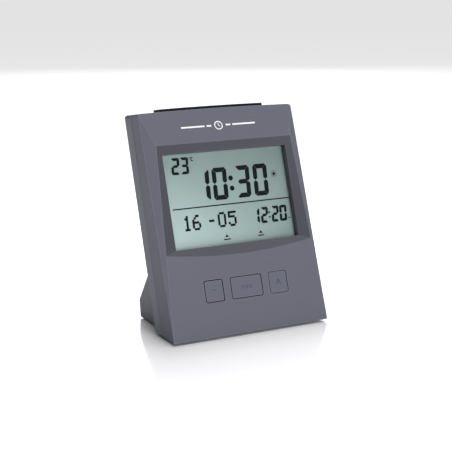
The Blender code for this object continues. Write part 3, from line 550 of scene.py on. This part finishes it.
bm = bmesh.new()
for figure, x in (("2", -33.2), ("3", -27.5)):
    add_figure(bm, figure, (x, 94.3), *SMALL_SIZE, TIME_SLANT)
flat_ring(bm, (-21.1, 103.4), 0.45, 0.18, INK_FRONT, INK_BACK, sides=20)
DEGREE_C = [(-18.7, 103.9), (-19.9, 103.9), (-20.2, 103.5), (-20.2, 101.9), (-19.9, 101.5), (-18.7, 101.5),
            (-18.7, 102.0), (-19.6, 102.0), (-19.6, 103.4), (-18.7, 103.4)]
flat_shape(bm, DEGREE_C, INK_FRONT, INK_BACK)
make_piece("temperature_figures", bm, FACE, display_ink, "clock")

bm = bmesh.new()
flat_bar(bm, -36.0, 40.6, 74.25, 74.95, INK_FRONT, INK_BACK)
make_piece("divider_line", bm, FACE, display_ink, "clock")

DATE_SLANT = math.tan(math.radians(2.0))
bm = bmesh.new()
for figure, x in (("1", -30.9), ("6", -25.0), ("-", -15.3), ("0", -8.6), ("5", -1.9)):
    add_dot_figure(bm, figure, (x, 61.6), *DOT_PITCH, DATE_SLANT)
make_piece("date_figures", bm, FACE, display_ink, "clock")

ALARM_SLANT = math.tan(math.radians(4.5))
bm = bmesh.new()
for figure, x in (("1", 13.8), ("2", 19.6), ("2", 26.9), ("0", 32.3)):
    add_figure(bm, figure, (x, 61.1), *ALARM_SIZE, ALARM_SLANT)
for z in (64.4, 67.1):
    flat_disc(bm, (25.75, z), 0.6, INK_FRONT, INK_BACK)
flat_bar(bm, 38.2, 39.8, 62.5, 63.0, INK_FRONT, INK_BACK)
make_piece("alarm_figures", bm, FACE, display_ink, "clock")

# A little sun for the morning half of the day, and plain pointers under the two lower figures.
SUN = (32.8, 89.6)
bm = bmesh.new()
flat_disc(bm, SUN, 0.9, INK_FRONT, INK_BACK)
for k in range(8):
    a = math.pi / 4 * k
    along = Vector((math.cos(a), math.sin(a)))
    side = Vector((-along.y, along.x)) * 0.2
    root = Vector(SUN) + along * 1.2
    tip = Vector(SUN) + along * 2.1
    flat_shape(bm, [root - side, tip - side, tip + side, root + side], INK_FRONT, INK_BACK)
for x, width in ((-4.2, 4.6), (18.2, 4.0)):
    flat_shape(bm, [(x - 1.2, 55.6), (x + 1.2, 55.6), (x, 57.3)], INK_FRONT, INK_BACK)
    flat_bar(bm, x - width / 2, x + width / 2, 54.0, 54.7, INK_FRONT, INK_BACK)
make_piece("display_icons", bm, FACE, display_ink, "clock")


# ------------------------------------------------------------------ backlight and display holder
# Behind the cell: a paper-white diffuser, an acrylic light guide with two lamps under it,
# a white holder round them, and the striped rubber strip that carries the signals.

def white_plastic(name, color, roughness):
    material, principled = blank_material(name, color, roughness)
    place, cloud, tone = mottle(material, principled, color, 0.03, 40.0)
    grain(material, principled, place, 1500.0, 0.00004, 0.25)
    return material


holder_white = white_plastic("white holder plastic", (0.80, 0.80, 0.78), 0.42)
for node in ("diffuser_sheet", "lcd_holder", "backlight_lamp_left", "backlight_lamp_right"):
    finish_node(node, holder_white)

guide_acrylic, principled = blank_material("light guide acrylic", (0.92, 0.95, 0.94), 0.12)
principled.inputs["Transmission Weight"].default_value = 0.85
place = add_node(guide_acrylic, "ShaderNodeTexCoord")
grain(guide_acrylic, principled, place, 900.0, 0.00005, 0.4)
finish_node("light_guide", guide_acrylic)

strip_rubber, principled = blank_material("striped contact rubber", (0.05, 0.05, 0.05), 0.7)
place = add_node(strip_rubber, "ShaderNodeTexCoord")
stripes = add_node(strip_rubber, "ShaderNodeTexWave", Scale=900.0, Distortion=0.0)
stripe_colors = add_node(strip_rubber, "ShaderNodeMixRGB")
stripe_colors.inputs["Color1"].default_value = (0.02, 0.02, 0.02, 1.0)
stripe_colors.inputs["Color2"].default_value = (0.30, 0.28, 0.26, 1.0)
link(strip_rubber, place.outputs["Object"], stripes.inputs["Vector"])
link(strip_rubber, stripes.outputs["Fac"], stripe_colors.inputs["Fac"])
link(strip_rubber, stripe_colors.outputs["Color"], principled.inputs["Base Color"])
finish_node("contact_strip", strip_rubber)


# ------------------------------------------------------------------ circuit boards and their parts
# Green-masked boards: the main one behind the display and a small one under the press bar.
# A chip under an epoxy drop, a quartz can, two capacitors, a sensor bead and screws sit on it.

BOARD_GREEN = (0.03, 0.16, 0.07)
board_mask, principled = blank_material("green solder mask", BOARD_GREEN, 0.4)
place, cloud, tone = mottle(board_mask, principled, BOARD_GREEN, 0.15, 60.0)
tracks = add_node(board_mask, "ShaderNodeTexBrick", Scale=260.0)
tracks.inputs["Color1"].default_value = (*BOARD_GREEN, 1.0)
tracks.inputs["Color2"].default_value = (0.028, 0.145, 0.065, 1.0)
tracks.inputs["Mortar"].default_value = (0.07, 0.27, 0.12, 1.0)
tracks.inputs["Mortar Size"].default_value = 0.03
link(board_mask, place.outputs["Object"], tracks.inputs["Vector"])
link(board_mask, tracks.outputs["Color"], principled.inputs["Base Color"])
grain(board_mask, principled, place, 1400.0, 0.00003, 0.2)
for node in ("main_board", "bar_board"):
    finish_node(node, board_mask)


def plated_metal(name, color, roughness):
    """Nickel-plated steel: fine drawn scratches and a slightly cloudy shine."""
    material, principled = blank_material(name, color, roughness)
    principled.inputs["Metallic"].default_value = 1.0
    place, cloud, tone = mottle(material, principled, color, 0.06, 300.0)
    stretch = add_node(material, "ShaderNodeMapping")
    stretch.inputs["Scale"].default_value = (600.0, 600.0, 6000.0)
    scratch = add_node(material, "ShaderNodeTexNoise", Scale=1.0, Detail=3.0)
    bump = add_node(material, "ShaderNodeBump", Strength=0.15, Distance=0.00003)
    link(material, place.outputs["Object"], stretch.inputs["Vector"])
    link(material, stretch.outputs["Vector"], scratch.inputs["Vector"])
    link(material, scratch.outputs["Fac"], bump.inputs["Height"])
    link(material, bump.outputs["Normal"], principled.inputs["Normal"])
    roughness_drift(material, principled, scratch.outputs["Fac"], roughness - 0.06, roughness + 0.1)
    return material


nickel = plated_metal("nickel-plated steel", (0.66, 0.65, 0.62), 0.28)
for number in range(1, 5):
    finish_node(f"board_screw_{number}", nickel)
finish_node("quartz_crystal", nickel)

black_abs = case_plastic("black moulded plastic", (0.012, 0.012, 0.014), 0.42, 0.00005)
for node in ("chip_cover", "reset_switch", "key_minus_switch", "key_set_switch", "key_plus_switch",
             "bar_switch", "speaker_ring"):
    finish_node(node, black_abs)


def sleeve(name, color):
    """Glossy insulating sleeve, with the slight ripple of an extrusion."""
    material, principled = blank_material(name, color, 0.35)
    place, cloud, tone = mottle(material, principled, color, 0.08, 200.0)
    ripple = grain(material, principled, place, 700.0, 0.00004, 0.25)
    roughness_drift(material, principled, ripple.outputs["Fac"], 0.28, 0.45)
    return material


black_sleeve = sleeve("black sleeve", (0.015, 0.015, 0.016))
red_sleeve = sleeve("red sleeve", (0.50, 0.025, 0.018))
for node in ("capacitor_left", "capacitor_right", "temperature_sensor", "battery_lead_black",
             "speaker_lead_black", "bar_lead_black"):
    finish_node(node, black_sleeve)
for node in ("battery_lead_red", "speaker_lead_red", "bar_lead_red"):
    finish_node(node, red_sleeve)


# ------------------------------------------------------------------ keys
# Three caps flush with the face, moulded in the case's grey but a shade cooler, each with a
# small sign printed a little darker than the cap.

KEY_GREY = (0.134, 0.136, 0.174)
KEY_ROW = 25.8
KEYS_HALF_WIDTH = 28.0
KEYS_HALF_HEIGHT = 8.0
CAP_WALL = 3.2
FACE_WALL = 2.4
key_abs = case_plastic("key plastic", KEY_GREY, 0.37, 0.00003)
gap_painted_shade = soft_black("painted shade in the key gaps", (0.010, 0.010, 0.013), 0.8, 1500.0)
face_out = (FACE.to_3x3() @ Vector((0.0, -1.0, 0.0))).normalized()


def paint_gap_shade(piece, depth):
    """The walls of the gaps round the keys get a painted shade, dark as the shade in the gaps."""
    piece.data.materials.append(gap_painted_shade)
    last = len(piece.data.materials) - 1
    for face in piece.data.polygons:
        middle = to_face @ face.center
        near = abs(middle.x) < KEYS_HALF_WIDTH and abs(middle.z - KEY_ROW) < KEYS_HALF_HEIGHT
        if near and 0.01 < middle.y < depth and abs(face.normal.dot(face_out)) < 0.6:
            face.material_index = last


for key in ("key_minus", "key_set", "key_plus"):
    cap = moulded_copy(key, f"{key}_cap", key_abs, key, edge=0.22 * MM)
    paint_gap_shade(cap, CAP_WALL)
    # The caps' broken edges take the painted gap shade too.
    cap.modifiers["broken edges"].material = 1
paint_gap_shade(front_case, FACE_WALL)

sign_ink = print_ink("dark sign ink", (0.060, 0.061, 0.080), 0.5)
bm = bmesh.new()
flat_bar(bm, -22.1, -19.7, KEY_ROW + 0.35, KEY_ROW + 0.95, -PRINT_LIFT, PRINT_ROOT)
make_piece("key_minus_sign", bm, FACE, sign_ink, "key_minus")
bm = bmesh.new()
for x in (-2.5, 0.0, 2.5):
    flat_ring(bm, (x, KEY_ROW), 0.95, 0.45, -PRINT_LIFT, PRINT_ROOT, sides=24)
make_piece("key_set_sign", bm, FACE, sign_ink, "key_set")
bm = bmesh.new()
CHEVRON = [(19.2, 24.4), (20.0, 24.4), (20.9, 26.5), (21.8, 24.4), (22.6, 24.4), (21.2, 27.6),
           (20.6, 27.6)]
flat_shape(bm, CHEVRON, -PRINT_LIFT, PRINT_ROOT)
make_piece("key_plus_sign", bm, FACE, sign_ink, "key_plus")


# ------------------------------------------------------------------ press bar
# A long black bar in a slot across the seam, with a fine ribbed top for the finger.

moulded_copy("top_bar", "press_bar", black_abs, "top_bar")


# ------------------------------------------------------------------ rear housing
# The back half of the case, moulded with the wedge foot, the loudspeaker grille, the
# battery recess and the counterbores of its four screws.

rear_abs = case_plastic("rear case plastic", (0.118, 0.120, 0.158), 0.40, 0.00005, sheen=0.3)
moulded_copy("rear_housing", "rear_case", rear_abs, "clock")

BACK_DEPTH = 24.2
GRILLE_CENTRE = (0.0, 92.0)
RESET_SPOT = (26.0, 66.0)
RING_CREST = BACK_DEPTH + 0.25
RING_ROOT = BACK_DEPTH - 0.3
bm = bmesh.new()
flat_ring(bm, GRILLE_CENTRE, 17.4, 16.5, RING_CREST, RING_ROOT, sides=64)
flat_ring(bm, RESET_SPOT, 3.5, 2.7, RING_CREST, RING_ROOT)
make_piece("back_rings", bm, FACE, rear_abs, "clock")


# ------------------------------------------------------------------ battery cover
# A lift-off cover in the slope of the foot, with two stiffening ribs inside, a finger groove,
# three raised grip bars under the groove and an arrow that points the way it comes off.

SLOPE_FOOT = (61.9, 11.1)
SLOPE_HEAD = (38.5, 43.1)
SLOPE = math.atan2(SLOPE_FOOT[0] - SLOPE_HEAD[0], SLOPE_HEAD[1] - SLOPE_FOOT[1])
BAY = (Matrix.Translation((0.0, 30.2 * MM, 11.1 * MM)) @ Matrix.Rotation(SLOPE, 4, "X")
       @ Matrix.Scale(MM, 4))
moulded_copy("battery_cover", "bay_cover", rear_abs, "battery_cover")
RELIEF_CREST = 0.35
RELIEF_ROOT = -0.4
bm = bmesh.new()
for z, half in ((21.6, 7.0), (19.4, 6.0), (17.2, 5.0)):
    flat_bar(bm, -half, half, z, z + 0.9, RELIEF_CREST, RELIEF_ROOT)
flat_shape(bm, [(-3.4, 12.8), (0.0, 8.6), (3.4, 12.8)], RELIEF_CREST, RELIEF_ROOT)
make_piece("cover_relief", bm, BAY, rear_abs, "battery_cover")


# ------------------------------------------------------------------ reset key and rubber pads
# A soft plunger recessed in the back, and four round pads under the clock.

pad_rubber = soft_black("dark rubber", (0.028, 0.028, 0.030), 0.78, 900.0)
finish_node("reset_key", pad_rubber)
for node in ("front_foot_left", "front_foot_right", "rear_foot_left", "rear_foot_right"):
    moulded_copy(node, f"{node}_pad", pad_rubber, "clock", edge=0.2 * MM)


# ------------------------------------------------------------------ loudspeaker
# A pressed steel basket with a paper cone and a plated magnet, clamped behind the grille.

for node in ("speaker_basket", "speaker_magnet"):
    finish_node(node, nickel)
PAPER_GREY = (0.045, 0.045, 0.045)
cone_paper, principled = blank_material("speaker paper", PAPER_GREY, 0.9)
place, cloud, tone = mottle(cone_paper, principled, PAPER_GREY, 0.2, 500.0)
grain(cone_paper, principled, place, 2200.0, 0.0001, 0.6)
finish_node("speaker_cone", cone_paper)


# ------------------------------------------------------------------ battery side
# Two AA cells in plain wrappers, flat plated contacts and conical springs.

cell_wrap = sleeve("plain cell wrapper", (0.045, 0.075, 0.145))
cell_collar = sleeve("cell collar film", (0.42, 0.20, 0.075))
CELL_RADIUS = 7.1
CELL_LENGTH = 50.1
CELL_DEPTH = -10.0
CELL_NUB = 28.4
COLLAR_LENGTH = 12.0
METAL_RADIUS = 6.3
for node, height, side in (("battery_lower", 11.7, -1), ("battery_upper", 27.3, 1)):
    tip = CELL_LENGTH - 1.1
    profile = ((0.0, 0.0), (0.0, 5.6), (0.25, 5.9), (0.25, 6.5), (0.5, CELL_RADIUS),
               (tip - COLLAR_LENGTH, CELL_RADIUS), (tip - 0.5, CELL_RADIUS), (tip - 0.2, 6.7),
               (tip - 0.35, 6.2), (tip - 0.35, 5.4), (tip, 5.0), (tip, 2.75), (tip + 0.9, 2.65),
               (CELL_LENGTH, 2.3), (CELL_LENGTH, 0.0))
    bm = bmesh.new()
    path = [bm.verts.new((along, radius, 0.0)) for along, radius in profile]
    edges = [bm.edges.new(pair) for pair in zip(path, path[1:])]
    bmesh.ops.spin(bm, geom=path + edges, axis=(1, 0, 0), angle=2 * math.pi, steps=48, use_merge=True)
    bmesh.ops.remove_doubles(bm, verts=bm.verts, dist=1e-4)
    bmesh.ops.recalc_face_normals(bm, faces=bm.faces)
    for face in bm.faces:
        along = face.calc_center_median().x
        across = math.hypot(face.calc_center_median().y, face.calc_center_median().z)
        if across < METAL_RADIUS or along < 0.4:
            face.material_index = 2
        elif along > tip - COLLAR_LENGTH:
            face.material_index = 1
    turn = Matrix.Rotation(math.pi if side < 0 else 0.0, 4, "Z")
    place = BAY @ Matrix.Translation((side * (CELL_NUB - CELL_LENGTH), CELL_DEPTH, height)) @ turn
    cell = make_piece(f"{node}_cell", bm, place, cell_wrap, "clock", sharp=35.0)
    cell.data.materials.append(cell_collar)
    cell.data.materials.append(nickel)
    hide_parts(node)

for node in ("positive_contact", "negative_contact", "bridge_contact"):
    finish_node(node, nickel)
for node in ("bridge_spring", "negative_spring"):
    moulded_copy(node, f"{node}_coil", nickel, "clock", sharp=80.0)


# ------------------------------------------------------------------ housing screws
# Four plated self-tapping screws with pan heads and a cross recess, driven home at the
# bottom of their counterbores.

SCREW_SEAT = 20.0
SCREW_PROFILE = ((7.0, 0.05), (8.2, 0.8), (SCREW_SEAT, 0.8), (SCREW_SEAT, 1.95), (SCREW_SEAT + 0.15, 2.05),
                 (SCREW_SEAT + 0.6, 2.0), (SCREW_SEAT + 1.1, 1.75), (SCREW_SEAT + 1.4, 1.4))
SCREW_SPOTS = ((-45.3, 60.0), (45.3, 60.0), (-45.3, 119.0), (45.3, 119.0))
CROSS_REACH = 0.95
CROSS_HALF = 0.22
CROSS_DEPTH = 0.7
HEAD_HEIGHT = 1.45
for number, (x, z) in enumerate(SCREW_SPOTS, 1):
    bm = bmesh.new()
    path = [bm.verts.new((radius, depth, 0.0)) for depth, radius in SCREW_PROFILE]
    edges = [bm.edges.new(pair) for pair in zip(path, path[1:])]
    bmesh.ops.spin(bm, geom=path + edges, axis=(0, 1, 0), angle=2 * math.pi, steps=24, use_merge=True)
    bmesh.ops.remove_doubles(bm, verts=bm.verts, dist=1e-4)
    rim = [e for e in bm.edges if e.is_boundary and e.verts[0].co.y > SCREW_SEAT]
    point = [e for e in bm.edges if e.is_boundary and e.verts[0].co.y < SCREW_SEAT]
    bmesh.ops.edgeloop_fill(bm, edges=point)
    corners = []
    for k in range(4):
        a = math.pi / 2 * k
        for reach, beside in ((CROSS_HALF, -CROSS_HALF), (CROSS_REACH, -CROSS_HALF),
                              (CROSS_REACH, CROSS_HALF)):
            x_corner = reach * math.cos(a) - beside * math.sin(a)
            z_corner = reach * math.sin(a) + beside * math.cos(a)
            corners.append(bm.verts.new((x_corner, SCREW_SEAT + HEAD_HEIGHT, z_corner)))
    floor_face = bm.faces.new(corners)
    bmesh.ops.bridge_loops(bm, edges=rim + list(floor_face.edges))
    sunk = bmesh.ops.extrude_face_region(bm, geom=[floor_face])
    moved = [v for v in sunk["geom"] if isinstance(v, bmesh.types.BMVert)]
    bmesh.ops.translate(bm, verts=moved, vec=(0.0, -CROSS_DEPTH, 0.0))
    bmesh.ops.scale(bm, verts=moved, vec=(0.7, 1.0, 0.7))
    place = FACE @ Matrix.Translation((x, 0.0, z)) @ Matrix.Rotation(0.4 * number, 4, "Y")
    screw = make_piece(f"case_screw_{number}", bm, place, nickel, "clock", sharp=35.0)
    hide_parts(f"housing_screw_{number}")
